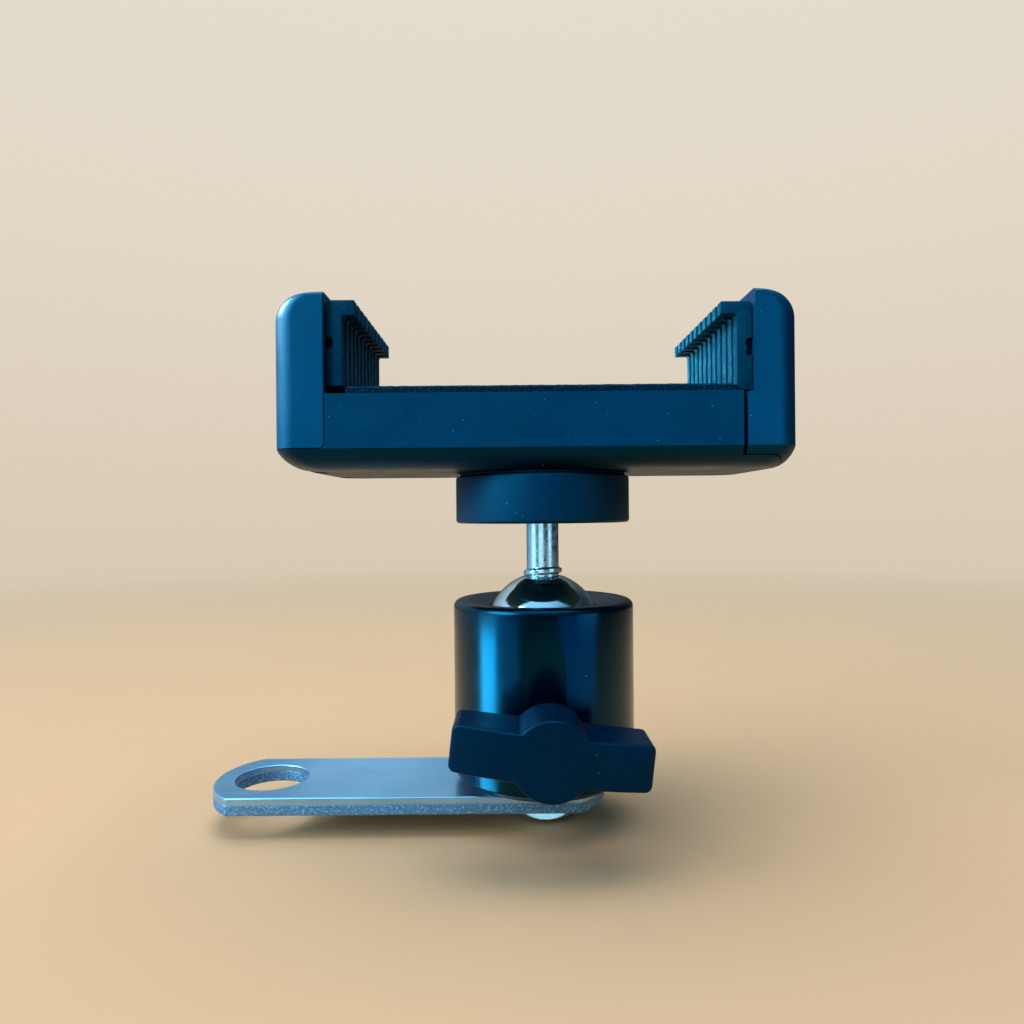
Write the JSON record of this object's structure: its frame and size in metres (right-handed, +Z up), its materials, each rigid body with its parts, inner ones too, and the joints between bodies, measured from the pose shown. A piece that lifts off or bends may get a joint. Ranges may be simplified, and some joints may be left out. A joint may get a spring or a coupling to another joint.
{
  "type": "phone handlebar mount",
  "caption": "Phone mount with a flat stem bar, a locking ball head with a wing knob and lock disc, and a spring clamp with ribbed jaw linings.",
  "frame": {"origin": "centre of the bar's mirror-stem hole, on the bar's underside", "axes": "+X along the bar from the stem hole to the ball head, +Z up along the ball head's axis, locking knob facing -Y"},
  "size_m": [0.0979, 0.0465, 0.0884],
  "materials": {
    "zinc_bar": "zinc plated and brushed lengthwise, sheared edges",
    "bright_zinc": "bright zinc plate",
    "base_steel": "blackened turned steel",
    "black_paint": "gloss blue-black paint on turned aluminium",
    "nylon": "natural nylon",
    "inner_steel": "plain turned steel",
    "knob_plastic": "satin blue-black moulded plastic",
    "ball_chrome": "mirror chrome",
    "disc_plastic": "fine matte blue-black moulded plastic",
    "brass": "turned brass",
    "washer_rubber": "smooth black rubber",
    "clamp_plastic": "satin blue-black moulded plastic with a fine grain",
    "liner_rubber": "ribbed blue-black rubber",
    "foam": "open-textured blue-black foam",
    "spring_wire": "plain spring steel"
  },
  "bodies": {
    "bracket": {"mount_bracket": "zinc_bar"},
    "head": {"ball_housing": "black_paint", "base_plug": "base_steel", "base_screw": "bright_zinc"},
    "wedge": {"wedge_block": "inner_steel"},
    "knob": {"wing_knob": "knob_plastic", "lock_screw": "inner_steel"},
    "plate": {"pressure_plate": "inner_steel"},
    "seat": {"lower_ball_seat": "nylon"},
    "ball": {"ball": "ball_chrome", "stud": "bright_zinc"},
    "washer": {"friction_washer": "washer_rubber"},
    "disc": {"lock_disc": "disc_plastic", "disc_nut": "brass"},
    "clamp": {"housing_tray": "clamp_plastic", "housing_lid": "clamp_plastic", "lid_screw_1": "bright_zinc", "lid_screw_2": "bright_zinc", "lid_screw_3": "bright_zinc", "lid_screw_4": "bright_zinc", "foam_pad": "foam", "fixed_jaw": "clamp_plastic", "fixed_jaw_liner": "liner_rubber", "fixed_jaw_screw_1": "bright_zinc", "fixed_jaw_screw_2": "bright_zinc", "thread_insert": "brass", "front_spring": "spring_wire", "rear_spring": "spring_wire"},
    "jaw": {"sliding_jaw": "clamp_plastic", "sliding_jaw_liner": "liner_rubber"}
  },
  "joints": [
    {"name": "head_swivel", "type": "hinge", "parent": "bracket", "child": "head", "pos_m": [0.0485, 0, 0.003], "axis": [0, 0, 1], "continuous": true},
    {"name": "knob_turn", "type": "hinge", "parent": "wedge", "child": "knob", "pos_m": [0.0485, 0, 0.0148], "axis": [0, -1, 0], "range_deg": [0, 360]},
    {"name": "wedge_slide", "type": "slide", "parent": "head", "child": "wedge", "axis": [0, -1, 0], "range_m": [0, 0.0008]},
    {"name": "plate_lift", "type": "slide", "parent": "head", "child": "plate", "axis": [0, 0, 1], "range_m": [-0.0002, 0]},
    {"name": "ball_pan", "type": "hinge", "parent": "head", "child": "seat", "pos_m": [0.0485, 0, 0.02894], "axis": [0, 0, 1], "continuous": true},
    {"name": "ball_tilt", "type": "hinge", "parent": "seat", "child": "ball", "pos_m": [0.0485, 0, 0.02894], "axis": [1, 0, 0], "range_deg": [-45, 45]},
    {"name": "washer_slide", "type": "slide", "parent": "ball", "child": "washer", "axis": [0, 0, -1], "range_m": [0, 0.00254]},
    {"name": "disc_turn", "type": "hinge", "parent": "washer", "child": "disc", "pos_m": [0.0485, 0, 0.052], "axis": [0, 0, -1], "range_deg": [0, 720]},
    {"name": "clamp_turn", "type": "hinge", "parent": "ball", "child": "clamp", "pos_m": [0.0485, 0, 0.06], "axis": [0, 0, 1], "continuous": true},
    {"name": "jaw_slide", "type": "slide", "parent": "clamp", "child": "jaw", "axis": [1, 0, 0], "range_m": [0, 0.025], "stiffness_N_per_m": 250, "springref_m": -0.02, "deforming": ["front_spring", "rear_spring"]}
  ],
  "couplings": [
    {"joint": "knob_turn", "follows": "wedge_slide", "rad_per_m": 7854},
    {"joint": "plate_lift", "follows": "wedge_slide", "ratio": -0.25},
    {"joint": "disc_turn", "follows": "washer_slide", "rad_per_m": 4947.4}
  ]
}
